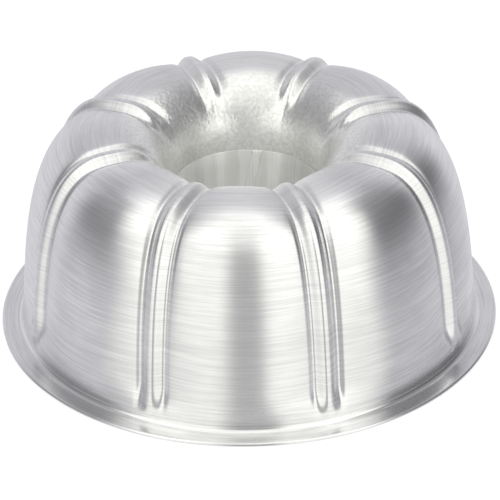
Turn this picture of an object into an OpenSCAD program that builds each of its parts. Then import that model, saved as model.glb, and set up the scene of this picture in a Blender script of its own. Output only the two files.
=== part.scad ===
// Fluted ring mould for brioche, pressed from one aluminium disc, with a rolled centre tube.
// It stands on its rim with the crown up. The origin is the middle of the rim's resting plane,
// Z points up and the front of the mould looks along -Y.

/* [Rim] */
// Diameter over the folded rim
rim_d = 250; // [244:1:290]
// Width of the edge that is folded back flat under the rim
fold_w = 4.5; // [4:0.5:6]
// Gap that the folded edge springs open
fold_gap = 0.05; // [0.04:0.01:0.2]
// Thickness of the aluminium disc, as it stays in the rim and in the neck
sheet_t = 1; // [0.8:0.05:1.4]
// Inner radius of the bend between the wall and the rim
foot_bend_r = 3; // [2:0.5:5]

/* [Wall and crown] */
// Height of the crown above the table
mould_h = 106; // [92:1:120]
// Diameter of the wall where its bend ends
foot_d = 228.5; // [215:0.5:230]
// Lean of the wall towards the middle, in degrees
wall_lean = 3.5; // [1:0.5:5]
// Diameter of the circle that runs along the top of the crown
crown_d = 133; // [122:1:144]
// Squareness of the outer shoulder, where 2 is an ellipse
shoulder_power = 3.1; // [2:0.1:4]
// Squareness of the inner shoulder, where 2 is an ellipse
throat_power = 2.3; // [2:0.1:3]
// Metal that each face of the sheet loses where it is drawn into the wall
draw_loss = 0.1; // [0.09:0.01:0.15]

/* [Lobes and ribs] */
// Number of lobes, with one rib between each pair
lobe_count = 8; // [6:1:8]
// Fall of the sheet from the middle of a lobe to the valleys along a rib
lobe_fall = 4.2; // [2:0.2:5]
// Width of a rib at its foot
rib_w = 15; // [12:0.5:17]
// Rise of a rib's crest out of the valleys, level with the lobes where it equals their extra depth
rib_rise = 1.2; // [0:0.1:1.4]
// Width over the valleys on both sides of a rib
valley_w = 20; // [19:0.5:24]
// Extra depth of the valleys
valley_d = 1.2; // [0:0.1:1.6]
// Height above the bend over which the fall and the valleys run out
foot_fade = 16; // [8:1:24]
// Turn of the first rib from the front towards +X, in degrees
rib_turn = 19.5; // [0:0.5:59]

/* [Throat and neck] */
// Inner diameter of the throat at the top of its neck
neck_d = 74.5; // [70:0.5:80]
// Depth of the neck's top below the crown
neck_depth = 34; // [28:1:38]
// Length of the neck that grips the centre tube
neck_h = 7; // [5:0.5:10]

/* [Centre tube] */
// Thickness of the tube's sheet
tube_t = 0.8; // [0.6:0.1:1]
// Outer diameter of the tube's free end
tube_end_d = 62; // [56:1:66]
// Height of the tube's free end above the table
tube_lift = 5; // [3:0.5:15]
// Diameter of the curl that is rolled at the free end
curl_d = 5; // [4:0.5:7]
// Width of the lap that closes the tube
seam_w = 5; // [4:0.5:12]
// Turn of the lap's middle from the front towards +X, in degrees
seam_turn = 184; // [0:1:359]
// Lean of the lap off the upright, in degrees
seam_lean = 13; // [0:1:20]
// Clearance between the neck and the tube pressed into it
neck_fit = 0.05; // [0.04:0.01:0.1]

/* [Hidden] */
$fn = 96;

sheet_colour = [0.80, 0.81, 0.83];
tube_colour = [0.76, 0.76, 0.74];

rim_r = rim_d / 2;
foot_r = foot_d / 2;
crown_r = crown_d / 2;
neck_r = neck_d / 2;
tube_end_r = tube_end_d / 2;
curl_r = curl_d / 2;
seam_bite = 0.3;
seam_step = 0.5;
neck_z = mould_h - neck_depth;

// The bend's centre lies outside the wall, above the rim's flat top
bend_c = [foot_r + foot_bend_r * cos(wall_lean), 2 * sheet_t + foot_bend_r];
foot_z = bend_c.y - foot_bend_r * sin(wall_lean);

// The throat and the tube taper along one cone, from the neck down to the free end
taper = atan((neck_r - neck_fit - tube_end_r) / (neck_z - tube_lift));
tube_slope = [sin(taper), cos(taper)];
tube_out = [cos(taper), -sin(taper)];

// The drawn sheet runs a little way into the fold of the rim and into the neck
rim_lap = 1.2;
neck_lap = 1;

// Grid of the drawn sheet
bend_rows = 3;
foot_rows = 6;
foot_run = 28;
foot_spread = 1.3;
shoulder_rows = 7;
throat_rows = 6;
zone_cols = 4;
lobe_cols = 2 * ceil(24 / lobe_count);
period = 360 / lobe_count;
period_cols = 2 * zone_cols + lobe_cols;
cols = period_cols * lobe_count;

// Shares and powers that shape the valleys, and the ribs where they run down the throat
zone_share = 0.36;
valley_floor_share = 0.7;
rib_throat_width = 0.7;
rib_throat_height = 2.5;
throat_fade = 9;

// Share between 0 and 1 that eases in and out
function ease(x) = let (c = min(max(x, 0), 1)) c * c * (3 - 2 * c);

// Half a cosine wave squared: 1 up to the start, 0 from the end on
function fall(s, start, end) = s <= start ? 1 :
    s >= end ? 0 : pow(cos(90 * (s - start) / (end - start)), 2);

// Point of a squared quarter circle at a polar angle
function squared(a, power) = [cos(a), sin(a)] /
    pow(pow(abs(cos(a)), power) + pow(abs(sin(a)), power), 1 / power);

// Outer shoulder: [radius, height] at a polar angle, 0 at the foot and 90 on the crown
top_r = foot_r - (mould_h - foot_z) * tan(wall_lean);
function shoulder(a) = let (
    q = squared(a, shoulder_power),
    z = foot_z + (mould_h - foot_z) * q.y
) [crown_r + (top_r - crown_r) * q.x + (mould_h - z) * tan(wall_lean), z];

// Inner shoulder: [radius, height] at a polar angle, 90 on the crown and 0 at the neck
skin_neck_r = neck_r + draw_loss;
inner_r = skin_neck_r + neck_depth * tan(taper);
function throat(a) = let (
    q = squared(a, throat_power),
    z = neck_z + neck_depth * q.y
) [crown_r - (crown_r - inner_r) * q.x - (mould_h - z) * tan(taper), z];

// Bend: [radius, height] at an angle round its centre, 0 under it and 90 at the wall
function bend(a) = bend_c - foot_bend_r * [sin(a), cos(a)];

// Polar angle of the outer shoulder that lies a given height above the foot
function shoulder_angle(h) = let (
    v = h / (mould_h - foot_z)
) atan2(v, pow(1 - pow(v, shoulder_power), 1 / shoulder_power));

// Meridian of the sheet in the middle of a lobe, from the rim over the crown to the neck
run_angle = shoulder_angle(foot_run);
meridian = concat(
    [[rim_r - fold_w + rim_lap, 2 * sheet_t]],
    [for (i = [0:bend_rows]) bend((90 - wall_lean) * i / bend_rows)],
    [for (i = [1:foot_rows]) shoulder(shoulder_angle(foot_run * pow(i / foot_rows, foot_spread)))],
    [for (i = [1:shoulder_rows]) shoulder(run_angle + (90 - run_angle) * i / shoulder_rows)],
    [for (i = [1:throat_rows]) throat(90 * (1 - i / throat_rows))],
    [[skin_neck_r, neck_z] - neck_lap * tube_slope]
);
rows = len(meridian);
rim_rows = bend_rows + 2;
crown_row = rim_rows + foot_rows + shoulder_rows - 1;

// Unit normal of the meridian, away from the cavity: level in the rim, and round the bend
function meridian_normal(i) = i == 0 ? [0, 1] :
    i < rim_rows ? (bend_c - meridian[i]) / foot_bend_r : let (
        a = meridian[i - 1],
        b = meridian[min(i + 1, rows - 1)],
        d = (b - a) / norm(b - a)
    ) [d.y, -d.x];

// Thickness of the sheet at a row of the grid: it thins as it is drawn up the wall
function thickness(i) = sheet_t - 2 * draw_loss *
    (i > crown_row ? 1 : ease((meridian[i].y - foot_z) / foot_run));

// Half the width over the valleys at a radius, in millimetres and in degrees
function zone(r) = min(valley_w / 2, zone_share * r * period * PI / 180);
function zone_angle(r) = zone(r) / r * 180 / PI;

// Angle from its rib of a column of the grid at a radius
function column_angle(j, r) = let (z = zone_angle(r)) j <= zone_cols ? z * j / zone_cols :
    j >= zone_cols + lobe_cols ? period - z * (period_cols - j) / zone_cols :
    z + (period - 2 * z) * (j - zone_cols) / lobe_cols;

// Half the width of a rib: it narrows as it runs down the throat
function rib_half(i, r) = min(rib_w / 2, zone(r)) * (i > crown_row ? pow(r / crown_r, rib_throat_width) : 1);

// Share of the fall and the valleys that is left at a row of the grid
function fluting(i, z) = i > crown_row ?
    ease((z - neck_z - throat_fade) / (neck_depth - throat_fade)) :
    ease((z - foot_z) / foot_fade);

// Distance of the sheet from the meridian, along its normal. A rib fills the fall between two
// lobes and rises out of its valleys, and that rise ends in a dome just above the foot.
function relief(i, angle, r, z) = i < rim_rows ? 0 : let (
    near = min(angle, period - angle),
    s = near * PI / 180 * r,
    flute = fluting(i, z),
    past_end = i > crown_row ? 0 : max(0, foot_z + rib_w / 2 - z),
    lobe = -lobe_fall * pow(1 - 2 * near / period, 2),
    valley = -valley_d * fall(s, valley_floor_share * zone(r), zone(r)),
    rib = lobe_fall * fall(s, 0, rib_half(i, r)),
    rise = rib_rise * fall(norm([s, past_end]), 0, rib_half(i, r)),
    left = i > crown_row ? pow(flute, rib_throat_height) : 1
) (lobe + valley) * flute + rib * (i > crown_row ? left : flute) + rise * left;

// Turn about the axis of a column of the grid at a row
function column_turn(i, j) = rib_turn - 90 + floor(j / period_cols) * period
    + column_angle(j % period_cols, meridian[i].x);

// Point of the meridian's plane, turned about the axis
function turned(p, turn) = [p.x * cos(turn), p.x * sin(turn), p.y];

skin = [for (i = [0:rows - 1]) let (m = meridian[i], n = meridian_normal(i)) [for (j = [0:cols - 1])
    turned(m + n * relief(i, column_angle(j % period_cols, m.x), m.x, m.y), column_turn(i, j))]];

// Unit normal of the sheet, away from the cavity
function skin_normal(i, j) = i < rim_rows ? turned(meridian_normal(i), column_turn(i, j)) : let (
    along = skin[min(i + 1, rows - 1)][j] - skin[i - 1][j],
    round = skin[i][(j + 1) % cols] - skin[i][(j + cols - 1) % cols],
    n = cross(round, along)
) n / norm(n);

inside = [for (i = [0:rows - 1]) [for (j = [0:cols - 1])
    skin[i][j] - thickness(i) * skin_normal(i, j)]];

// Two triangles that close a square of the grid
function square_faces(a, b, c, d) = [[a, b, c], [a, c, d]];

module drawn_sheet() {
    points = concat([for (row = skin) each row], [for (row = inside) each row]);
    count = rows * cols;
    outer_faces = [for (i = [0:rows - 2]) for (j = [0:cols - 1]) let (k = (j + 1) % cols)
        each square_faces(i * cols + j, (i + 1) * cols + j, (i + 1) * cols + k, i * cols + k)];
    inner_faces = [for (i = [0:rows - 2]) for (j = [0:cols - 1]) let (k = (j + 1) % cols)
        each square_faces(count + i * cols + j, count + i * cols + k,
            count + (i + 1) * cols + k, count + (i + 1) * cols + j)];
    last = (rows - 1) * cols;
    end_faces = [for (j = [0:cols - 1]) let (k = (j + 1) % cols) each concat(
        square_faces(j, k, count + k, count + j),
        square_faces(last + j, count + last + j, count + last + k, last + k))];
    polyhedron(points, concat(outer_faces, inner_faces, end_faces), convexity = 10);
}

// Section of the folded edge, two sheets and the gap between them, with a round nose
module fold_section() {
    nose_r = sheet_t + fold_gap / 2;
    translate([rim_r - fold_w, 0]) square([fold_w - nose_r, 2 * nose_r]);
    intersection() {
        translate([rim_r - nose_r, nose_r]) circle(r = nose_r);
        translate([rim_r - nose_r, 0]) square(2 * nose_r);
    }
}

// Section of the neck: a short cone, cut level at the end of the throat
module neck_section() {
    intersection() {
        translate([neck_r, neck_z]) rotate(-taper) translate([0, -neck_h])
            square([sheet_t, 2 * neck_h]);
        square([rim_r, neck_z]);
    }
}

module fluted_shell() {
    color(sheet_colour) union() {
        drawn_sheet();
        rotate_extrude() fold_section();
        rotate_extrude() neck_section();
    }
}

// The tube's outer line passes just under the neck's bore and ends tangent to its curl
curl_touch_z = tube_lift + curl_r + curl_r * sin(taper);
tube_len = (neck_z - curl_touch_z) / tube_slope.y;
curl_c = [neck_r - neck_fit, neck_z] - tube_len * tube_slope - curl_r * tube_out;

// Section of the tube: a straight wall over three quarters of a curl on the side of the hole
module tube_section() {
    translate(curl_c) rotate(-taper) {
        translate([curl_r - tube_t, 0]) square([tube_t, tube_len]);
        difference() {
            circle(r = curl_r);
            circle(r = curl_r - tube_t);
            square(2 * curl_r);
        }
    }
}

// Section of a second layer of sheet, pressed a little into the first
module seam_section() {
    translate(curl_c) rotate(-taper) translate([curl_r - (2 - seam_bite) * tube_t, curl_r])
        square([tube_t, tube_len - curl_r - seam_step]);
}

// Upright slab, leaned sideways, that cuts the lap out of a full second layer
module seam_slab() {
    rotate(seam_turn) translate([0, 0, neck_z / 2]) rotate([0, -seam_lean, 0])
        translate([-seam_w / 2, -neck_r, -neck_z]) cube([seam_w, neck_r, 2 * neck_z]);
}

module centre_tube() {
    color(tube_colour) union() {
        rotate_extrude() tube_section();
        intersection() {
            rotate_extrude() seam_section();
            seam_slab();
        }
    }
}

fluted_shell();
centre_tube();
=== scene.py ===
"""Looks of a fluted ring mould for brioche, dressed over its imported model.

The mould is pressed from one disc of aluminium and stands on its rim with the crown up. A rolled
tube is pressed into its neck. All lengths are in metres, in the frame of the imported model.
"""

import logging
import math
from dataclasses import dataclass, field
from enum import Enum

import bmesh
import bpy
import numpy as np
from mathutils import Matrix, Vector


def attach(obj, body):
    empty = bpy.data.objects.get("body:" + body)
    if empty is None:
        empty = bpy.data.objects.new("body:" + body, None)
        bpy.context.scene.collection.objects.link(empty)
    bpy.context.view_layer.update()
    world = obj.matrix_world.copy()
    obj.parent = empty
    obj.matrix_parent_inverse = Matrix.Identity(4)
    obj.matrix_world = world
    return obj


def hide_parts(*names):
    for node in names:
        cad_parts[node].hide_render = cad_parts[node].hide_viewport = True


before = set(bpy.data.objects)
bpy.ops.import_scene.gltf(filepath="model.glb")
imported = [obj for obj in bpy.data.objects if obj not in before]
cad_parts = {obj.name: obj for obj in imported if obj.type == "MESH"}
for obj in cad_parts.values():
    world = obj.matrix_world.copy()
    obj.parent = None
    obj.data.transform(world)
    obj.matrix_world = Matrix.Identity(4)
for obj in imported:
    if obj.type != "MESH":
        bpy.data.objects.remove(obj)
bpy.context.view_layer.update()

MM = 0.001
TURN = 2 * math.pi

# Turn of a highlight's stretch against the tangent, in full turns: from along the lines to across them.
QUARTER_TURN = 0.25

# Lean of the shell's neck and of the tube in it, and the height of their top.
NECK_TAPER = math.radians(5.287)
NECK_Z = 72 * MM

LOG = logging.getLogger("brioche_mould")

Colour = tuple[float, float, float]
Pair = tuple[float, float]


class Attribute(Enum):
    """Numbers that a mesh carries for its finish."""

    ALONG = "along_the_section"
    STRETCH = "stretch"


def ease(x: np.ndarray | float) -> np.ndarray | float:
    """Share between 0 and 1 that eases in and out."""
    c = np.clip(x, 0, 1)
    return c * c * (3 - 2 * c)


def fall(s: np.ndarray, start: float, end: np.ndarray | float) -> np.ndarray:
    """Half a cosine wave squared.

    Args:
        s: Distances.
        start: Distance up to which the wave is 1.
        end: Distance from which it is 0.

    Returns:
        The wave's height at each distance.
    """
    share = np.clip((s - start) / np.maximum(end - start, 1e-9), 0, 1)
    return np.cos(share * math.pi / 2) ** 2


def squared(angle: np.ndarray, power: float) -> tuple[np.ndarray, np.ndarray]:
    """Point of a squared quarter circle.

    Args:
        angle: Polar angles in radians.
        power: Squareness, where 2 is a circle.

    Returns:
        The two coordinates of each point.
    """
    c, s = np.cos(angle), np.sin(angle)
    size = (np.abs(c) ** power + np.abs(s) ** power) ** (1 / power)
    return c / size, s / size


def spread(start: float, end: float, count: int) -> np.ndarray:
    """Evenly spread values from start to just before end."""
    return np.linspace(start, end, count, endpoint=False)


def path_length(points: np.ndarray) -> np.ndarray:
    """Length along a row of points, from the first one."""
    steps = np.linalg.norm(np.diff(points, axis=0), axis=1)
    return np.concatenate([[0], np.cumsum(steps)])


def grid_normals(grid: np.ndarray) -> np.ndarray:
    """Unit normals of a grid of points that closes round its second direction.

    Args:
        grid: Points as rows, columns and coordinates.

    Returns:
        Unit normals, on the left of somebody who walks down the rows and looks along them.
    """
    along = np.gradient(grid, axis=0)
    round_ = np.roll(grid, -1, axis=1) - np.roll(grid, 1, axis=1)
    normal = np.cross(along, round_)
    return normal / np.linalg.norm(normal, axis=2, keepdims=True)


def smooth_mesh(name: str, points: np.ndarray, quads: np.ndarray, sharp: float) -> bpy.types.Object:
    """Makes an object of quads, shaded smooth but for its sharp edges.

    Args:
        name: Name of the object.
        points: Points in rows of three.
        quads: Indices in rows of four.
        sharp: Angle in degrees from which an edge shows as sharp.

    Returns:
        The new object, linked to the scene.
    """
    mesh = bpy.data.meshes.new(name)
    mesh.from_pydata(points.tolist(), [], quads.tolist())
    work = bmesh.new()
    work.from_mesh(mesh)
    bmesh.ops.recalc_face_normals(work, faces=work.faces)
    work.to_mesh(mesh)
    work.free()
    mesh.shade_smooth()
    mesh.set_sharp_from_angle(angle=math.radians(sharp))
    piece = bpy.data.objects.new(name, mesh)
    bpy.context.scene.collection.objects.link(piece)
    return piece


def carry(piece: bpy.types.Object, what: Attribute, values: np.ndarray) -> None:
    """Stores one number per point of a piece under the name of an attribute."""
    layer = piece.data.attributes.new(what.value, "FLOAT", "POINT")
    layer.data.foreach_set("value", values.astype(np.float32).ravel())


class Nodes:
    """Short ways to add and join the nodes of one tree."""

    def __init__(self, tree: bpy.types.NodeTree) -> None:
        """Starts from an empty tree."""
        self.tree = tree
        tree.nodes.clear()

    def add(self, kind: str, settings: dict | None = None, **inputs: object) -> bpy.types.Node:
        """Adds a node.

        Args:
            kind: Type of the node.
            settings: Values of the node's own properties.
            **inputs: Values or sockets for its inputs, with _ for a space in a name.

        Returns:
            The new node.
        """
        node = self.tree.nodes.new(kind)
        for key, value in (settings or {}).items():
            setattr(node, key, value)
        for key, value in inputs.items():
            self.put(node.inputs[key.replace("_", " ")], value)
        return node

    def put(self, socket: bpy.types.NodeSocket, value: object) -> None:
        """Joins a socket to an input, or sets the input's value.

        Args:
            socket: The input.
            value: Socket to join to it, or value to set.
        """
        if isinstance(value, bpy.types.NodeSocket):
            self.tree.links.new(value, socket)
        else:
            socket.default_value = value

    def math(self, operation: str, *values: object, clamp: bool = False) -> bpy.types.NodeSocket:
        """Adds a sum of numbers.

        Args:
            operation: Name of the operation.
            *values: Numbers or sockets.
            clamp: Whether the result is held between 0 and 1.

        Returns:
            The socket that holds the result.
        """
        node = self.tree.nodes.new("ShaderNodeMath")
        node.operation = operation
        node.use_clamp = clamp
        for socket, value in zip(node.inputs, values):
            self.put(socket, value)
        return node.outputs[0]

    def weigh(self, *parts: tuple[object, object]) -> bpy.types.NodeSocket:
        """Adds up numbers, each times its weight.

        Args:
            *parts: Pairs of a number or socket and its weight.

        Returns:
            The socket that holds the sum.
        """
        total = self.math("MULTIPLY", *parts[0])
        for part in parts[1:]:
            total = self.math("ADD", total, self.math("MULTIPLY", *part))
        return total

    def vector(self, operation: str, *values: object, scale: float | None = None) -> bpy.types.NodeSocket:
        """Adds a sum of vectors.

        Args:
            operation: Name of the operation.
            *values: Vectors or sockets.
            scale: Number that a SCALE multiplies by.

        Returns:
            The socket that holds the result.
        """
        node = self.tree.nodes.new("ShaderNodeVectorMath")
        node.operation = operation
        for socket, value in zip(node.inputs, values):
            self.put(socket, value)
        if scale is not None:
            node.inputs["Scale"].default_value = scale
        return node.outputs[0]

    def remap(self, value: object, low: float, high: float, to_low: object,
              to_high: object) -> bpy.types.NodeSocket:
        """Eases a number from one range to another.

        Args:
            value: Number or socket.
            low: Start of the range it comes from.
            high: End of that range.
            to_low: Number or socket at the start.
            to_high: Number or socket at the end.

        Returns:
            The socket that holds the result.
        """
        node = self.add("ShaderNodeMapRange", {"interpolation_type": "SMOOTHSTEP"})
        numbers = {"Value": value, "From Min": low, "From Max": high, "To Min": to_low, "To Max": to_high}
        for key, number in numbers.items():
            self.put(node.inputs[key], number)
        return node.outputs[0]

    def noise(self, where: object, scale: float, detail: float = 2,
              rough: float = 0.5) -> bpy.types.NodeSocket:
        """Adds a cloudy noise.

        Args:
            where: Socket with the place.
            scale: Number of clouds in one unit.
            detail: Number of finer layers.
            rough: Strength of the finer layers.

        Returns:
            The socket that holds the noise, between 0 and 1.
        """
        node = self.add("ShaderNodeTexNoise", None, Vector=where, Scale=scale, Detail=detail, Roughness=rough)
        return node.outputs[0]

    def round_axis(self, place: bpy.types.NodeSocket) -> bpy.types.NodeSocket:
        """Direction of a place from the mould's axis, as a level unit vector."""
        return self.vector("NORMALIZE", self.vector("MULTIPLY", place, (1, 1, 0)))

    def tint(self, share: object, first: object, second: object) -> bpy.types.NodeSocket:
        """Mixes two colours.

        Args:
            share: Share of the second colour.
            first: Colour or socket at a share of 0.
            second: Colour or socket at a share of 1.

        Returns:
            The socket that holds the colour.
        """
        node = self.tree.nodes.new("ShaderNodeMix")
        node.data_type = "RGBA"
        self.put(node.inputs[0], share)
        for socket, colour in ((node.inputs[6], first), (node.inputs[7], second)):
            self.put(socket, colour if isinstance(colour, bpy.types.NodeSocket) else (*colour, 1))
        return node.outputs[2]

    def sheet_metal(self, metallic: float, anisotropy: float, **inputs: object) -> None:
        """Ends the tree in sheet metal whose highlights stretch across lines round the axis.

        Args:
            metallic: How metallic it is.
            anisotropy: Stretch of its highlights.
            **inputs: Values or sockets of the shader's other inputs.
        """
        tangent = self.add("ShaderNodeTangent", {"direction_type": "RADIAL", "axis": "Z"}).outputs[0]
        metal = self.add("ShaderNodeBsdfPrincipled", None, Tangent=tangent, **inputs)
        metal.inputs["Metallic"].default_value = metallic
        metal.inputs["Anisotropic"].default_value = anisotropy
        metal.inputs["Anisotropic Rotation"].default_value = QUARTER_TURN
        self.add("ShaderNodeOutputMaterial", None, Surface=metal.outputs[0])


@dataclass(frozen=True)
class SpunAluminium:
    """Aluminium sheet with fine lines that run round the mould, and a pebbled skin where it is stretched.

    Attributes:
        name: Name of the material.
        bright: Colour of the open metal.
        dull: Colour in its dull lines and clouds.
        clear: Colour on the pebbles where the sheet is stretched.
        warm: Colour between those pebbles.
        wear: Strengths of lines and clouds at which the metal is dull and at which it is bright.
        wear_shares: Shares of the lines and of the clouds in that wear.
        cloud_scale: Number of clouds in one metre.
        pebble_wear: Strengths of the pebbles at which the skin is warm and at which it is clear.
        stretched_share: Share of the skin's own colour where the sheet is fully stretched.
        roughness: Roughness of the open metal.
        rough_swing: What the faintest lines add to it and what the strongest take off.
        rough_range: Strengths of lines and clouds that count as faintest and strongest.
        rough_shares: Shares of the lines and of the clouds in those strengths.
        stretched_roughness: What the stretched skin adds to the roughness.
        flange_roughness: What the flange adds to it.
        flange_z: Height up to which the metal counts as flange.
        anisotropy: Stretch of its highlights across the lines.
        line_gap: Distance between two lines.
        line_run: Number of lines that follow each other round one radian.
        coarse_gap: Gap of the coarse lines, in gaps of the fine ones.
        coarse_run: Number of the coarse lines, as a share of the fine ones.
        line_depth: Depth of the lines.
        skin_lines: Share of the lines' depth that is left where the sheet is stretched. Elsewhere it
            comes on top of their whole depth.
        pebble_gap: Distance between two pebbles of the stretched skin.
        pebble_depth: Depth of the pebbles.
    """

    name: str
    bright: Colour = (0.9, 0.9, 0.9)
    dull: Colour = (0.72, 0.72, 0.722)
    clear: Colour = (0.97, 0.97, 0.955)
    warm: Colour = (0.84, 0.845, 0.825)
    wear: Pair = (0.36, 0.62)
    wear_shares: Pair = (0.75, 0.25)
    cloud_scale: float = 28
    pebble_wear: Pair = (0.35, 0.65)
    stretched_share: float = 0.9
    roughness: float = 0.29
    rough_swing: Pair = (0.07, 0.05)
    rough_range: Pair = (0.25, 0.75)
    rough_shares: Pair = (0.6, 0.4)
    stretched_roughness: float = 0.06
    flange_roughness: float = -0.09
    flange_z: float = 5 * MM
    anisotropy: float = 0.85
    line_gap: float = 0.5 * MM
    line_run: float = 4.0
    coarse_gap: float = 2
    coarse_run: float = 0.6
    line_depth: float = 0.016 * MM
    skin_lines: float = 0.25
    pebble_gap: float = 1.7 * MM
    pebble_depth: float = 0.2 * MM

    def build(self) -> bpy.types.Material:
        """Makes the material.

        Returns:
            The material.
        """
        material = bpy.data.materials.new(self.name)
        material.use_nodes = True
        n = Nodes(material.node_tree)
        place = n.add("ShaderNodeTexCoord").outputs["Object"]
        along = n.add("ShaderNodeAttribute", {"attribute_name": Attribute.ALONG.value}).outputs["Fac"]
        stretch = n.add("ShaderNodeAttribute", {"attribute_name": Attribute.STRETCH.value}).outputs["Fac"]
        round_ = n.round_axis(place)

        def lines(gap: float, run: float) -> bpy.types.NodeSocket:
            """Streaks that run round the axis, a gap apart and 1 / run radians long."""
            across = n.add("ShaderNodeCombineXYZ", None, Z=n.math("MULTIPLY", along, 1 / gap)).outputs[0]
            return n.noise(n.vector("ADD", n.vector("SCALE", round_, scale=run), across), 1, 3, 0.6)

        fine = lines(self.line_gap, self.line_run)
        coarse = lines(self.line_gap * self.coarse_gap, self.line_run * self.coarse_run)
        clouds = n.noise(place, self.cloud_scale, 3, 0.55)
        pebbles = n.noise(place, 1 / self.pebble_gap, 2, 0.5)
        open_metal = n.math("SUBTRACT", 1, stretch)

        streaks = n.weigh((fine, 0.5), (coarse, 0.5))
        wear = n.weigh((streaks, self.wear_shares[0]), (clouds, self.wear_shares[1]))
        colour = n.tint(n.remap(wear, *self.wear, 0, 1), self.dull, self.bright)
        skin = n.tint(n.remap(pebbles, *self.pebble_wear, 0, 1), self.warm, self.clear)
        colour = n.tint(n.math("MULTIPLY", stretch, self.stretched_share), colour, skin)

        swing = n.weigh((streaks, self.rough_shares[0]), (clouds, self.rough_shares[1]))
        rough = n.remap(swing, *self.rough_range, self.roughness + self.rough_swing[0],
                        self.roughness - self.rough_swing[1])
        rough = n.math("ADD", rough, n.math("MULTIPLY", stretch, self.stretched_roughness))
        level = n.add("ShaderNodeSeparateXYZ", None, Vector=place).outputs["Z"]
        flange = n.remap(level, self.flange_z, self.flange_z * 2, self.flange_roughness, 0)
        rough = n.math("ADD", rough, flange)
        lined = n.math("MULTIPLY", streaks, self.line_depth)
        height = n.weigh((lined, n.math("ADD", self.skin_lines, open_metal)),
                         (n.math("MULTIPLY", pebbles, self.pebble_depth), stretch))
        bump = n.add("ShaderNodeBump", None, Strength=1.0, Distance=1.0, Height=height).outputs[0]
        n.sheet_metal(1.0, self.anisotropy, Base_Color=colour, Roughness=rough, Normal=bump)
        return material


@dataclass(frozen=True)
class RolledAluminium:
    """Plain mill sheet, rolled into a tube, with faint lines along the tube.

    Attributes:
        name: Name of the material.
        bright: Colour of the clean metal.
        dull: Colour of its dull patches.
        wear: Strengths of lines, clouds and bands at which the metal is dull and at which it is bright.
        wear_shares: Shares of the lines, the clouds and the bands in that wear.
        cloud_scale: Number of clouds in one metre.
        metallic: How metallic the sheet is under its film of oxide.
        roughness: Roughness of the clean metal.
        rough_swing: What the faintest clouds add to it and what the strongest take off.
        rough_range: Strengths of the clouds that count as faintest and strongest.
        anisotropy: Stretch of its highlights along the tube.
        line_gap: Distance between two lines, in radians round the tube.
        line_drift: Number of times that a line changes in one metre of the tube.
        bands: Number of broad dull bands along the tube in one radian.
        band_drift: How much less the bands change along the tube than the lines.
        line_depth: Depth of the lines.
    """

    name: str
    bright: Colour = (0.98, 0.98, 0.97)
    dull: Colour = (0.84, 0.845, 0.82)
    wear: Pair = (0.42, 0.58)
    wear_shares: tuple[float, float, float] = (0.25, 0.2, 0.55)
    cloud_scale: float = 60
    metallic: float = 0.65
    roughness: float = 0.5
    rough_swing: Pair = (0.08, 0.06)
    rough_range: Pair = (0.3, 0.7)
    anisotropy: float = 0.95
    line_gap: float = 0.02
    line_drift: float = 30
    bands: float = 5.0
    band_drift: float = 0.2
    line_depth: float = 0.008 * MM

    def build(self) -> bpy.types.Material:
        """Makes the material.

        Returns:
            The material.
        """
        material = bpy.data.materials.new(self.name)
        material.use_nodes = True
        n = Nodes(material.node_tree)
        place = n.add("ShaderNodeTexCoord").outputs["Object"]
        round_ = n.round_axis(place)
        down = n.vector("MULTIPLY", place, (0, 0, self.line_drift))
        lines = n.noise(n.vector("ADD", n.vector("SCALE", round_, scale=1 / self.line_gap), down), 1, 2, 0.5)
        clouds = n.noise(place, self.cloud_scale, 3, 0.6)
        bands = n.vector("ADD", n.vector("SCALE", round_, scale=self.bands),
                         n.vector("SCALE", down, scale=self.band_drift))
        bands = n.noise(bands, 1, 1, 0.5)
        wear = n.weigh(*zip((lines, clouds, bands), self.wear_shares))
        colour = n.tint(n.remap(wear, *self.wear, 0, 1), self.dull, self.bright)
        rough = n.remap(clouds, *self.rough_range, self.roughness + self.rough_swing[0],
                        self.roughness - self.rough_swing[1])
        bump = n.add("ShaderNodeBump", None, Strength=1.0, Distance=1.0,
                     Height=n.math("MULTIPLY", lines, self.line_depth)).outputs[0]
        n.sheet_metal(self.metallic, self.anisotropy, Base_Color=colour, Roughness=rough, Normal=bump)
        return material


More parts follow.
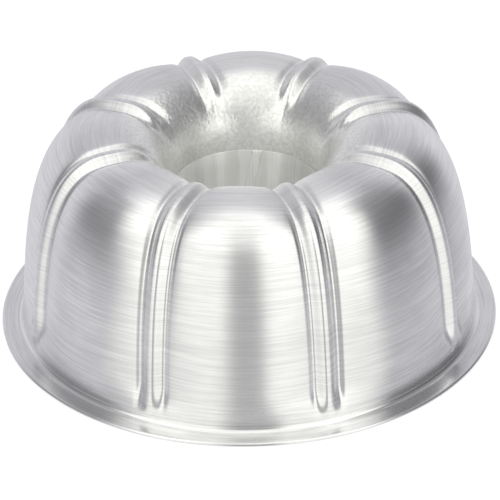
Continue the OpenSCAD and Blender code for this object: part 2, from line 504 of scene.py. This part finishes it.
@dataclass
class FlutedShell:
    """The pressed shell: rim with its folded edge, fluted wall, crown, throat and neck, all one sheet.

    Attributes:
        rim_r: Radius over the folded rim.
        fold_w: Width of the edge folded back under the rim.
        sheet_t: Thickness of the sheet in the rim and the neck.
        wall_t: Thickness of the drawn wall.
        bend_r: Inner radius of the bend between the wall and the rim.
        height: Height of the crown.
        foot_r: Radius of the wall where its bend ends.
        lean: Lean of the wall in radians.
        crown_r: Radius of the line along the top of the crown.
        shoulder_power: Squareness of the outer shoulder.
        throat_power: Squareness of the inner shoulder.
        lobes: Number of lobes.
        lobe_fall: Fall of the sheet from the middle of a lobe to the line of a rib.
        rib_w: Width of a rib at its foot.
        rib_rise: Rise of a rib's crest out of the valleys, level with the lobes where it equals their
            extra depth.
        valley_w: Width over the valleys on both sides of a rib.
        valley_d: Extra depth of the valleys.
        foot_fade: Height above the bend over which the fall and the valleys run out.
        throat_fade: Height above the neck's top at which ribs and valleys have run out in the throat.
        rib_turn: Turn of the first rib from the front, in radians.
        neck_r: Radius of the throat at the top of its neck.
        neck_z: Height of the neck's top.
        neck_h: Length of the neck.
        taper: Lean of the neck in radians.
        fold_gap: Gap between the rim and the edge folded back under it.
        zone_share: Widest share of a lobe's period that a rib and its valley take on one side.
        valley_floor_share: Share of that width at which a valley starts to rise to the lobe.
        rib_throat_width: Power by which the ribs narrow with the throat.
        rib_throat_height: Power by which ribs and valleys sink as they run down the throat.
        stretch_gain: How much faster the skin turns pebbled than the throat narrows.
        foot_angle: Polar angle of the outer shoulder, in radians, under which its rows are packed.
        foot_pack: Power that packs those rows towards the foot.
        zone_cols: Columns of the mesh in a rib and valley, on one side of a rib.
        lobe_cols: Columns between the valleys of two ribs.
        sharp: Angle from which an edge shows as sharp, in degrees.
        rows: Rows of the mesh in each part of the section.
    """

    rim_r: float = 125 * MM
    fold_w: float = 4.5 * MM
    sheet_t: float = 1.0 * MM
    wall_t: float = 0.8 * MM
    bend_r: float = 3.0 * MM
    height: float = 106 * MM
    foot_r: float = 114.25 * MM
    lean: float = math.radians(3.5)
    crown_r: float = 66.5 * MM
    shoulder_power: float = 3.1
    throat_power: float = 2.3
    lobes: int = 8
    lobe_fall: float = 4.2 * MM
    rib_w: float = 15 * MM
    rib_rise: float = 1.09 * MM
    valley_w: float = 20 * MM
    valley_d: float = 1.2 * MM
    foot_fade: float = 16 * MM
    throat_fade: float = 9 * MM
    rib_turn: float = math.radians(19.5)
    neck_r: float = 37.25 * MM
    neck_z: float = NECK_Z
    neck_h: float = 7 * MM
    taper: float = NECK_TAPER
    fold_gap: float = 0.05 * MM
    zone_share: float = 0.36
    valley_floor_share: float = 0.5
    rib_throat_width: float = 0.7
    rib_throat_height: float = 4.0
    stretch_gain: float = 2.2
    foot_angle: float = 0.5
    foot_pack: float = 1.25
    zone_cols: int = 15
    lobe_cols: int = 18
    sharp: float = 50
    rows: dict[str, int] = field(default_factory=lambda: {
        "neck": 5, "throat": 34, "shoulder": 46, "foot": 26, "bend": 9, "band": 5, "nose": 10, "fold": 4})

    def __post_init__(self) -> None:
        """Works out the sizes that follow from the others."""
        self.bend_x = self.foot_r + self.bend_r * math.cos(self.lean)
        self.bend_z = 2 * self.sheet_t + self.bend_r
        self.foot_z = self.bend_z - self.bend_r * math.sin(self.lean)
        self.top_r = self.foot_r - (self.height - self.foot_z) * math.tan(self.lean)
        self.inner_r = self.neck_r + (self.height - self.neck_z) * math.tan(self.taper)

    def section(self) -> tuple[np.ndarray, np.ndarray]:
        """Section of the show face in the middle of a lobe, from the neck to the fold's edge.

        Returns:
            Radius and height of each point, and 1 for a point down the throat or in the neck.
        """
        rows = self.rows
        z = spread(self.neck_z - self.neck_h * math.cos(self.taper), self.neck_z, rows["neck"])
        neck = np.column_stack([self.neck_r + (z - self.neck_z) * math.tan(self.taper), z])

        q, p = squared(spread(0, math.pi / 2, rows["throat"]), self.throat_power)
        z = self.neck_z + (self.height - self.neck_z) * p
        throat = np.column_stack([self.crown_r - (self.crown_r - self.inner_r) * q
                                  - (self.height - z) * math.tan(self.taper), z])

        packed = (1 - np.linspace(0, 1, rows["foot"])) ** self.foot_pack
        angles = np.concatenate([spread(math.pi / 2, self.foot_angle, rows["shoulder"]),
                                 self.foot_angle * packed])
        q, p = squared(angles, self.shoulder_power)
        z = self.foot_z + (self.height - self.foot_z) * p
        wall = np.column_stack([self.crown_r + (self.top_r - self.crown_r) * q
                                + (self.height - z) * math.tan(self.lean), z])

        a = np.linspace(math.pi + self.lean, 1.5 * math.pi, rows["bend"] + 1)[1:]
        bend = np.column_stack([self.bend_x + self.bend_r * np.cos(a), self.bend_z + self.bend_r * np.sin(a)])
        nose_x = self.rim_r - self.sheet_t
        x = np.linspace(self.bend_x, nose_x, rows["band"] + 1)[1:]
        band = np.column_stack([x, np.full_like(x, 2 * self.sheet_t)])
        a = np.linspace(math.pi / 2, -math.pi / 2, rows["nose"] + 1)[1:]
        nose = np.column_stack([nose_x + self.sheet_t * np.cos(a), self.sheet_t + self.sheet_t * np.sin(a)])
        x = np.linspace(nose_x, self.rim_r - self.fold_w, rows["fold"] + 1)[1:]
        fold = np.column_stack([x, np.zeros_like(x)])
        points = np.vstack([neck, throat, wall, bend, band, nose, fold])
        inside = np.arange(len(points)) < len(neck) + len(throat)
        return points, inside.astype(float)

    def columns(self, r: np.ndarray) -> np.ndarray:
        """Angles of one period's columns, measured from its rib.

        Args:
            r: Radius of each row.

        Returns:
            Angles as rows and columns, in radians.
        """
        period = TURN / self.lobes
        zone = np.minimum(self.valley_w / 2, self.zone_share * r * period) / r
        near = np.linspace(0, 1, self.zone_cols, endpoint=False)
        mid = np.linspace(0, 1, self.lobe_cols + 1)
        rising = zone[:, None] * near
        across = zone[:, None] + (period - 2 * zone[:, None]) * mid
        falling = period - zone[:, None] * near[::-1]
        return np.hstack([rising, across, falling[:, :-1]])

    def relief(self, angle: np.ndarray, r: np.ndarray, z: np.ndarray, inside: np.ndarray) -> np.ndarray:
        """Distance of the sheet from the section, along its normal.

        Args:
            angle: Angles from the rib, as rows and columns.
            r: Radius of each row.
            z: Height of each row.
            inside: 1 for a row in the throat.

        Returns:
            Distances, outward from the metal.
        """
        period = TURN / self.lobes
        r, z, inside = r[:, None], z[:, None], inside[:, None] > 0.5
        near = np.minimum(angle, period - angle)
        s = near * r
        zone = np.minimum(self.valley_w / 2, self.zone_share * r * period)
        above = (z - self.neck_z - self.throat_fade) / (self.height - self.neck_z - self.throat_fade)
        share = np.where(inside, ease(above), ease((z - self.foot_z) / self.foot_fade))
        kept = np.where(inside, share ** self.rib_throat_height, 1)
        pressed = np.where(inside, kept, share)
        past_end = np.where(inside, 0, np.maximum(0, self.foot_z + self.rib_w / 2 - z))
        narrow = np.where(inside, (r / self.crown_r) ** self.rib_throat_width, 1)
        half = np.minimum(self.rib_w / 2, zone) * narrow
        lobe = -self.lobe_fall * (1 - 2 * near / period) ** 2
        valley = -self.valley_d * fall(s, self.valley_floor_share * zone, zone)
        rib = self.lobe_fall * fall(s, 0, half)
        rise = self.rib_rise * fall(np.hypot(s, past_end), 0, half)
        return lobe * share + valley * pressed + rib * pressed + rise * kept

    def faces(self) -> tuple[np.ndarray, np.ndarray, np.ndarray, np.ndarray]:
        """Points of both faces of the sheet.

        Returns:
            Grid of the show face, grid of the cavity face, length along the section and stretch.
        """
        section, inside = self.section()
        r, z = section[:, 0], section[:, 1]
        d = np.gradient(section, axis=0)
        d /= np.linalg.norm(d, axis=1, keepdims=True)
        normal = np.column_stack([-d[:, 1], d[:, 0]])
        angle = self.columns(r)
        out = self.relief(angle, r, z, inside)
        radius = r[:, None] + normal[:, :1] * out
        height = z[:, None] + normal[:, 1:] * out
        turns = self.rib_turn - math.pi / 2 + np.arange(self.lobes) * TURN / self.lobes
        theta = np.concatenate([angle + t for t in turns], axis=1)
        radius, height = np.tile(radius, self.lobes), np.tile(height, self.lobes)
        show = np.stack([radius * np.cos(theta), radius * np.sin(theta), height], axis=2)
        along = path_length(section)
        blend = 3 * self.sheet_t
        rim = ease((self.foot_z + blend - z) / blend)
        neck = ease((self.neck_z + blend - z) / blend) * inside
        thicker = self.sheet_t - self.fold_gap - self.wall_t
        thick = self.wall_t + thicker * np.maximum(rim * (1 - inside), neck)
        normals = grid_normals(show)
        flat = along > along[np.argmax(z < self.foot_z - MM)]
        level, turn = normal[flat], theta[flat]
        normals[flat] = np.stack([level[:, :1] * np.cos(turn), level[:, :1] * np.sin(turn),
                                  np.broadcast_to(level[:, 1:], turn.shape)], axis=2)
        cavity = show - normals * thick[:, None, None]
        stretch = ease((self.crown_r - r) / (self.crown_r - self.neck_r) * self.stretch_gain) * inside
        return show, cavity, along, stretch

    def build(self) -> bpy.types.Object:
        """Makes the shell as one closed sheet.

        Returns:
            The shell.
        """
        show, cavity, along, stretch = self.faces()
        rows, cols = show.shape[:2]
        index = np.arange(rows * cols).reshape(rows, cols)
        nxt = np.roll(index, -1, axis=1)
        a, b, c, d = index[:-1], index[1:], nxt[1:], nxt[:-1]
        face = np.stack([a, d, c, b], axis=2).reshape(-1, 4)
        back = face[:, ::-1] + rows * cols
        count = rows * cols
        first = np.stack([index[0], index[0] + count, nxt[0] + count, nxt[0]], axis=1)
        last = np.stack([index[-1], nxt[-1], nxt[-1] + count, index[-1] + count], axis=1)
        quads = np.vstack([face, back, first, last])
        points = np.vstack([show.reshape(-1, 3), cavity.reshape(-1, 3)])
        piece = smooth_mesh("pressed_shell", points, quads, self.sharp)
        carry(piece, Attribute.ALONG, np.tile(np.repeat(along, cols), 2))
        carry(piece, Attribute.STRETCH, np.tile(np.repeat(stretch, cols), 2))
        return piece

    def dress(self, piece: bpy.types.Object, finish: SpunAluminium) -> None:
        """Gives the shell its finish and its place in the frame.

        Args:
            piece: The shell.
            finish: Its metal.
        """
        piece.data.materials.append(finish.build())
        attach(piece, "root")
        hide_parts("fluted_shell")


@dataclass
class CentreTube:
    """The rolled tube: a cone closed by a lap on the side of the hole, with a curl at its free end.

    Attributes:
        top_r: Outer radius at the top.
        top_z: Height of the top.
        sheet_t: Thickness of the tube's sheet.
        lift: Height of the free end.
        curl_r: Outer radius of the curl.
        taper: Lean of the wall in radians.
        seam_w: Width of the lap.
        seam_turn: Turn of the lap's middle from the front, in radians.
        seam_lean: Lean of the lap off the upright, in radians.
        seam_bite: Share of the sheet's thickness by which the lap's layer sinks into the wall.
        seam_step: Distance from the tube's top to the lap's end.
        edge: Width of the small bevel along the top edge.
        feather: Height over which the top edge is thinned from the inside.
        feather_power: Power of that thinning.
        lap_edge: Turn over which an edge of the lap steps up, on each side, in radians.
        lap_shoulder: Share of the lap's layer in the middle of that step.
        lap_cols: Columns of the mesh across the lap.
        wall_rows: Rows of the mesh up the outside of the wall.
        curl_rows: Rows round the curl.
        even_cols: Columns round the rest of the tube.
        sharp: Angle from which an edge shows as sharp, in degrees.
    """

    top_r: float = 37.2 * MM
    top_z: float = NECK_Z
    sheet_t: float = 0.8 * MM
    lift: float = 5 * MM
    curl_r: float = 2.5 * MM
    taper: float = NECK_TAPER
    seam_w: float = 5 * MM
    seam_turn: float = math.radians(184)
    seam_lean: float = math.radians(13)
    seam_bite: float = 0.3
    seam_step: float = 0.5 * MM
    edge: float = 0.12 * MM
    feather: float = 5 * MM
    feather_power: float = 1.5
    lap_edge: float = 0.004
    lap_shoulder: float = 0.75
    lap_cols: int = 9
    wall_rows: int = 26
    curl_rows: int = 30
    even_cols: int = 180
    sharp: float = 50

    def __post_init__(self) -> None:
        """Works out the sizes that follow from the others."""
        slope = (math.sin(self.taper), math.cos(self.taper))
        out = (math.cos(self.taper), -math.sin(self.taper))
        touch_z = self.lift + self.curl_r * (1 + math.sin(self.taper))
        self.length = (self.top_z - touch_z) / slope[1]
        self.curl = (self.top_r - self.length * slope[0] - self.curl_r * out[0],
                     self.top_z - self.length * slope[1] - self.curl_r * out[1])
        self.slope, self.out = slope, out

    def section(self) -> tuple[np.ndarray, np.ndarray]:
        """Closed section of the tube, in the frame of its curl.

        Returns:
            Distances across and along the wall, and 1 where a point is on the lap's layer.
        """
        r, t, e, length = self.curl_r, self.sheet_t, self.edge, self.length
        up = np.linspace(0, length - e, self.wall_rows)
        outer = np.column_stack([np.full_like(up, r), up])
        top = np.array([[r - e / 2, length], [r - e, length]])
        lap_rows = self.wall_rows * 3
        down = np.concatenate([[length - e], np.linspace(length - self.seam_step, r, lap_rows), [r - e]])
        near_top = np.clip((down - length + self.feather) / self.feather, 0, 1)
        thin = (t - 2 * e) * near_top ** self.feather_power
        inner = np.column_stack([r - t + thin, down])
        lap = np.concatenate([np.zeros(len(outer) + len(top) + 1), np.ones(lap_rows), [0]])
        a = np.linspace(0, -1.5 * math.pi, self.curl_rows)
        ring_in = (r - t) * np.column_stack([np.cos(a), np.sin(a)])
        ring_out = r * np.column_stack([np.cos(a), np.sin(a)])[::-1][:-1]
        points = np.vstack([outer, top, inner, ring_in, ring_out])
        return points, np.concatenate([lap, np.zeros(len(ring_in) + len(ring_out))])

    def turns(self) -> tuple[np.ndarray, np.ndarray]:
        """Angles of the columns and the share of the lap's layer at each.

        Returns:
            Angles in radians from +X, and shares between 0 and 1.
        """
        half = self.seam_w / (self.top_r - self.sheet_t) / 2
        middle = self.seam_turn - math.pi / 2
        lap = np.array([-half - self.lap_edge, -half, -half + self.lap_edge])
        inside = np.linspace(-half + self.lap_edge, half - self.lap_edge, self.lap_cols)[1:-1]
        rest = np.linspace(half + self.lap_edge, TURN - half - self.lap_edge, self.even_cols)[1:-1]
        angles = np.concatenate([lap, inside, -lap[::-1], rest])
        step = np.array([0, self.lap_shoulder, 1])
        share = np.concatenate([step, np.ones(len(inside)), step[::-1], np.zeros(len(rest))])
        return angles + middle, share

    def build(self) -> bpy.types.Object:
        """Makes the tube as one closed sheet.

        Returns:
            The tube.
        """
        section, on_lap = self.section()
        theta, share = self.turns()
        layer = self.sheet_t * (1 - self.seam_bite)
        across = section[:, :1] - layer * on_lap[:, None] * share[None, :]
        length = np.broadcast_to(section[:, 1:], across.shape)
        radius = self.curl[0] + across * self.out[0] + length * self.slope[0]
        height = self.curl[1] + across * self.out[1] + length * self.slope[1]
        lean = math.tan(self.seam_lean) * (height - self.top_z / 2) / radius
        theta = theta - lean
        points = np.stack([radius * np.cos(theta), radius * np.sin(theta), height], axis=2)
        rows, cols = points.shape[:2]
        index = np.arange(rows * cols).reshape(rows, cols)
        below = np.roll(index, -1, axis=0)
        quads = np.stack([index, np.roll(index, -1, axis=1), np.roll(below, -1, axis=1), below], axis=2)
        return smooth_mesh("rolled_tube", points.reshape(-1, 3), quads.reshape(-1, 4), self.sharp)

    def dress(self, piece: bpy.types.Object, finish: RolledAluminium) -> None:
        """Gives the tube its finish and its place in the frame.

        Args:
            piece: The tube.
            finish: Its metal.
        """
        piece.data.materials.append(finish.build())
        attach(piece, "root")
        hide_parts("centre_tube")


@dataclass(frozen=True)
class Softbox:
    """A soft rectangular lamp that looks at the middle of the mould.

    Attributes:
        name: Name of the lamp.
        turn: Turn from the front towards +X, in degrees.
        tilt: Height above the table, in degrees.
        away: Distance from the mould.
        size: Width and height.
        power: Power in watts.
        colour: Colour of its light.
        aim_z: Height of the point that it looks at, on the mould's axis.
    """

    name: str
    turn: float
    tilt: float
    away: float
    size: Pair
    power: float
    colour: Colour = (1, 1, 1)
    aim_z: float = 0.06

    def build(self) -> None:
        """Hangs the lamp."""
        lamp = bpy.data.lights.new(self.name, "AREA")
        lamp.shape = "RECTANGLE"
        lamp.size, lamp.size_y = self.size
        lamp.energy = self.power
        lamp.color = self.colour
        turn, tilt = math.radians(self.turn), math.radians(self.tilt)
        way = Vector((math.sin(turn) * math.cos(tilt), -math.cos(turn) * math.cos(tilt), math.sin(tilt)))
        holder = bpy.data.objects.new(self.name, lamp)
        holder.location = Vector((0, 0, self.aim_z)) + way * self.away
        holder.rotation_euler = way.to_track_quat("Z", "Y").to_euler()
        bpy.context.scene.collection.objects.link(holder)


@dataclass(frozen=True)
class Band:
    """A range of turns or rises round the mould that fades in and out.

    Attributes:
        rise: Angles where it starts and where it is whole, in degrees.
        drop: Angles where it starts to fade and where it is gone, in degrees.
    """

    rise: Pair
    drop: Pair

    def share(self, n: Nodes, low: bpy.types.NodeSocket, high: bpy.types.NodeSocket) -> bpy.types.NodeSocket:
        """Share of the band.

        Args:
            n: Tree to build in.
            low: Angle that is held against the band's start.
            high: Angle that is held against its end.

        Returns:
            The socket that holds the share.
        """
        return n.math("MULTIPLY", n.remap(low, *self.rise, 0, 1), n.remap(high, *self.drop, 1, 0))


@dataclass(frozen=True)
class Slope:
    """A value that eases into another one.

    Attributes:
        over: Where it starts and where it ends.
        values: Value at the start and at the end.
    """

    over: Pair
    values: Pair

    def at(self, n: Nodes, where: bpy.types.NodeSocket) -> bpy.types.NodeSocket:
        """Value at a place.

        Args:
            n: Tree to build in.
            where: The place, in the measure that the slope is over.

        Returns:
            The socket that holds the value.
        """
        return n.remap(where, *self.over, *self.values)


@dataclass
class Studio:
    """White floor, pale surroundings, two tall screens in front, dark flags at the sides and a lamp.

    A turn is measured from the front towards +X and a rise from the level, both in degrees. A slope
    is over rises where nothing else is said.

    Attributes:
        floor_size: Width of the floor.
        paper: Colour of the floor.
        paper_lift: Light that the floor adds to what the camera sees of it.
        front: Brightness of the room behind the camera.
        front_dip: Brightness that it loses in a band low down.
        front_dip_rise: Rises of that band.
        back: Brightness of the room behind the mould.
        back_turn: Turns over which the front becomes the back.
        corners: Turns of the room's back corners, on both sides.
        corner_fall: Brightness that the back corners lose.
        behind: Share of the room that lies behind the mould, over turns.
        back_fall: Brightness that this share loses.
        flag: Brightness of the dark flags, over turns from the left one to the right one.
        flag_top: Brightness that both flags gain higher up.
        flag_foot: Brightness that both flags gain near the table.
        left_shade: Turns that the left flag covers.
        right_shade: Turns that the right flag covers.
        left_screen: Brightness that the left screen adds to the room.
        right_screen: Brightness that the right screen adds to the room.
        left_span: Turns that the left screen covers.
        right_span: Turns that the right screen covers.
        left_splay: Turn that the left screen's outer edge gains with each degree of rise.
        right_splay: The same for the right screen.
        splay_level: Rise at which the edges stand where their spans say.
        screen_foot: Share of the screens' light.
        screen_side: Share of it that is lost at the sides, over turns.
        screen_side_foot: Share of that loss.
        ceiling: Brightness of the long light panel overhead.
        panel: Share of the panel.
        panel_front: Rise that the panel gains on the front side, over the direction's Y.
        panel_width: Share of the panel, over the direction's X.
        floor_glow: Brightness of the floor under the mould, as metal sees it.
        below: Share of that glow.
        warm_tone: Tone of the light from the front.
        cool_tone: Tone of the light from the sides and from behind.
        screen_warmth: Coolness that the screens' light takes off for each unit of brightness.
        cool_turn: Share of the coolness, over turns.
        softboxes: The lamps.
    """

    floor_size: float = 6.0
    paper: Colour = (0.8, 0.8, 0.8)
    paper_lift: float = 0.45
    front: Slope = Slope((28, 52), (0.5, 0.8))
    front_dip: float = 0.18
    front_dip_rise: Band = Band((8, 18), (28, 38))
    back: float = 0.76
    back_turn: Pair = (60, 130)
    corners: Band = Band((90, 115), (150, 168))
    corner_fall: Slope = Slope((25, 45), (0, 0.14))
    behind: Slope = Slope((90, 120), (0, 1))
    back_fall: Slope = Slope((10, 35), (0, 0.13))
    flag: Slope = Slope((-60, 60), (0.22, 0.13))
    flag_top: Slope = Slope((18, 42), (0, 0.16))
    flag_foot: Slope = Slope((-14, 8), (0.52, 0))
    left_shade: Band = Band((-128, -104), (-76, -60))
    right_shade: Band = Band((60, 76), (114, 146))
    left_screen: float = 0.79
    right_screen: float = 0.84
    left_span: Band = Band((-67, -49), (-20, -6))
    right_span: Band = Band((8, 20), (52, 68))
    left_splay: float = 0.7
    right_splay: float = 0.55
    splay_level: float = 15
    screen_foot: Slope = Slope((-20, 5), (0.65, 1))
    screen_side: Slope = Slope((30, 45), (0, 0.1))
    screen_side_foot: Slope = Slope((-8, 14), (1, 0))
    ceiling: float = 1.15
    panel: Slope = Slope((50, 76), (0, 1))
    panel_front: Slope = Slope((-0.5, 0.1), (18, 0))
    panel_width: Slope = Slope((0.12, 0.55), (1, 0))
    floor_glow: float = 1.0
    below: Slope = Slope((-70, -40), (1, 0))
    warm_tone: Colour = (1.0, 1.0, 0.965)
    cool_tone: Colour = (1.0, 0.992, 1.045)
    screen_warmth: float = 1.8
    cool_turn: Slope = Slope((15, 60), (0.5, 1))
    softboxes: tuple[Softbox, ...] = (
        Softbox("top_softbox", 180, 75, 1.5, (1.4, 0.9), 1.0),
    )

    def walls(self, n: Nodes, turn: bpy.types.NodeSocket,
              rise: bpy.types.NodeSocket) -> bpy.types.NodeSocket:
        """Brightness of the room's walls and of the dark flags before them.

        Args:
            n: Tree to build in.
            turn: Turn of the direction.
            rise: Rise of the direction.

        Returns:
            The socket with the brightness.
        """
        dip = n.math("MULTIPLY", self.front_dip_rise.share(n, rise, rise), self.front_dip)
        front = n.math("SUBTRACT", self.front.at(n, rise), dip)
        away = n.math("ABSOLUTE", turn)
        plain = n.remap(away, *self.back_turn, front, self.back)
        lost = n.weigh((self.corners.share(n, away, away), self.corner_fall.at(n, rise)),
                       (self.behind.at(n, away), self.back_fall.at(n, rise)))
        plain = n.math("SUBTRACT", plain, lost)
        shade = n.math("ADD", self.left_shade.share(n, turn, turn), self.right_shade.share(n, turn, turn))
        flag = n.math("ADD", self.flag.at(n, turn),
                      n.math("ADD", self.flag_top.at(n, rise), self.flag_foot.at(n, rise)))
        return n.weigh((plain, n.math("SUBTRACT", 1, shade)), (flag, shade))

    def screens(self, n: Nodes, turn: bpy.types.NodeSocket,
                rise: bpy.types.NodeSocket) -> bpy.types.NodeSocket:
        """Brightness that the two screens add to the walls.

        Args:
            n: Tree to build in.
            turn: Turn of the direction.
            rise: Rise of the direction.

        Returns:
            The socket with the brightness.
        """
        over = n.math("SUBTRACT", n.math("ABSOLUTE", rise), self.splay_level)
        left_edge = n.math("ADD", turn, n.math("MULTIPLY", over, self.left_splay))
        right_edge = n.math("SUBTRACT", turn, n.math("MULTIPLY", over, self.right_splay))
        lit = n.weigh((self.left_span.share(n, left_edge, turn), self.left_screen),
                      (self.right_span.share(n, turn, right_edge), self.right_screen))
        side = n.math("MULTIPLY", self.screen_side.at(n, n.math("ABSOLUTE", turn)),
                      self.screen_side_foot.at(n, rise))
        return n.math("MULTIPLY", lit, n.math("SUBTRACT", self.screen_foot.at(n, rise), side))

    def build_floor(self) -> None:
        """Lays the floor, white to the camera and with the mould's shadow."""
        size = self.floor_size / 2
        corners = [(-size, -size, 0), (size, -size, 0), (size, size, 0), (-size, size, 0)]
        mesh = bpy.data.meshes.new("floor")
        mesh.from_pydata(corners, [], [(0, 1, 2, 3)])
        floor = bpy.data.objects.new("floor", mesh)
        bpy.context.scene.collection.objects.link(floor)
        material = bpy.data.materials.new("floor_paper")
        material.use_nodes = True
        n = Nodes(material.node_tree)
        path = n.add("ShaderNodeLightPath").outputs
        paper = n.add("ShaderNodeBsdfDiffuse")
        paper.inputs["Color"].default_value = (*self.paper, 1)
        glow = n.math("MULTIPLY", path["Is Camera Ray"], self.paper_lift)
        glow = n.add("ShaderNodeEmission", None, Strength=glow)
        both = n.add("ShaderNodeAddShader")
        n.put(both.inputs[0], paper.outputs[0])
        n.put(both.inputs[1], glow.outputs[0])
        n.add("ShaderNodeOutputMaterial", None, Surface=both.outputs[0])
        mesh.materials.append(material)
        floor.visible_glossy = False

    def build_world(self) -> None:
        """Surrounds the set with its room, screens and flags."""
        world = bpy.data.worlds.new("studio_room")
        bpy.context.scene.world = world
        world.use_nodes = True
        n = Nodes(world.node_tree)
        way = n.add("ShaderNodeTexCoord").outputs["Generated"]
        axes = n.add("ShaderNodeSeparateXYZ", None, Vector=way).outputs
        rise = n.math("MULTIPLY", n.math("ARCSINE", axes["Z"]), math.degrees(1))
        turn = n.math("ARCTAN2", axes["X"], n.math("MULTIPLY", axes["Y"], -1))
        turn = n.math("MULTIPLY", turn, math.degrees(1))
        walls, lit = self.walls(n, turn, rise), self.screens(n, turn, rise)

        above = n.math("MULTIPLY", self.panel.at(n, n.math("ADD", rise, self.panel_front.at(n, axes["Y"]))),
                       self.panel_width.at(n, n.math("ABSOLUTE", axes["X"])))
        below = self.below.at(n, rise)
        middle = n.math("SUBTRACT", 1, n.math("ADD", above, below))
        shown = n.math("ADD", n.math("MULTIPLY", n.math("ADD", walls, lit), middle),
                       n.weigh((above, self.ceiling), (below, self.floor_glow)))
        camera = n.add("ShaderNodeLightPath").outputs["Is Camera Ray"]
        strength = n.math("ADD", n.math("MULTIPLY", shown, n.math("SUBTRACT", 1, camera)), camera)

        cool = n.math("SUBTRACT", 1, n.math("MULTIPLY", lit, self.screen_warmth), clamp=True)
        cool = n.math("MULTIPLY", cool, self.cool_turn.at(n, n.math("ABSOLUTE", turn)))
        cool = n.math("MULTIPLY", cool, n.math("SUBTRACT", 1, above))
        tone = n.tint(camera, n.tint(cool, self.warm_tone, self.cool_tone), (1, 1, 1))
        back = n.add("ShaderNodeBackground", None, Color=tone, Strength=strength)
        n.add("ShaderNodeOutputWorld", None, Surface=back.outputs[0])

    def build(self) -> None:
        """Builds the whole set."""
        self.build_floor()
        self.build_world()
        for softbox in self.softboxes:
            softbox.build()
        bpy.context.scene.view_settings.view_transform = "Standard"


@dataclass(frozen=True)
class Camera:
    """The camera, on the front side and above the mould.

    Attributes:
        tilt: Height of the view above the table, in degrees.
        away: Distance from the point it looks at.
        aim_z: Height of that point.
        lens: Focal length in millimetres.
        sensor: Width of the sensor in millimetres.
        clip: Distances from which and up to which it sees.
        roll: Turn of the picture, in degrees.
        shift: Sideways shift of the picture, in frame widths.
    """

    tilt: float = 30.97
    away: float = 1.8
    aim_z: float = 0.0351
    lens: float = 257.9
    sensor: float = 36
    clip: Pair = (0.05, 50)
    roll: float = -1.1
    shift: float = 0.00416

    def build(self) -> None:
        """Sets up the camera and makes it the scene's own."""
        data = bpy.data.cameras.new("view")
        data.sensor_width = self.sensor
        data.sensor_fit = "HORIZONTAL"
        data.lens = self.lens
        data.shift_x = self.shift
        data.clip_start, data.clip_end = self.clip
        holder = bpy.data.objects.new("view", data)
        tilt = math.radians(self.tilt)
        aim = Vector((0, 0, self.aim_z))
        place = aim + self.away * Vector((0, -math.cos(tilt), math.sin(tilt)))
        turn = Matrix.Rotation(math.pi / 2 - tilt, 4, "X") @ Matrix.Rotation(math.radians(self.roll), 4, "Z")
        holder.matrix_world = Matrix.Translation(place) @ turn
        bpy.context.scene.collection.objects.link(holder)
        bpy.context.scene.camera = holder


def main() -> None:
    """Builds the mould's pieces, then the studio and the camera."""
    logging.basicConfig(level=logging.INFO, format="%(message)s")
    for part, finish in ((FlutedShell(), SpunAluminium("spun_aluminium")),
                         (CentreTube(), RolledAluminium("rolled_aluminium"))):
        piece = part.build()
        part.dress(piece, finish)
        LOG.info("%s: %d points", piece.name, len(piece.data.vertices))
    Studio().build()
    Camera().build()


if __name__ == "__main__":
    main()
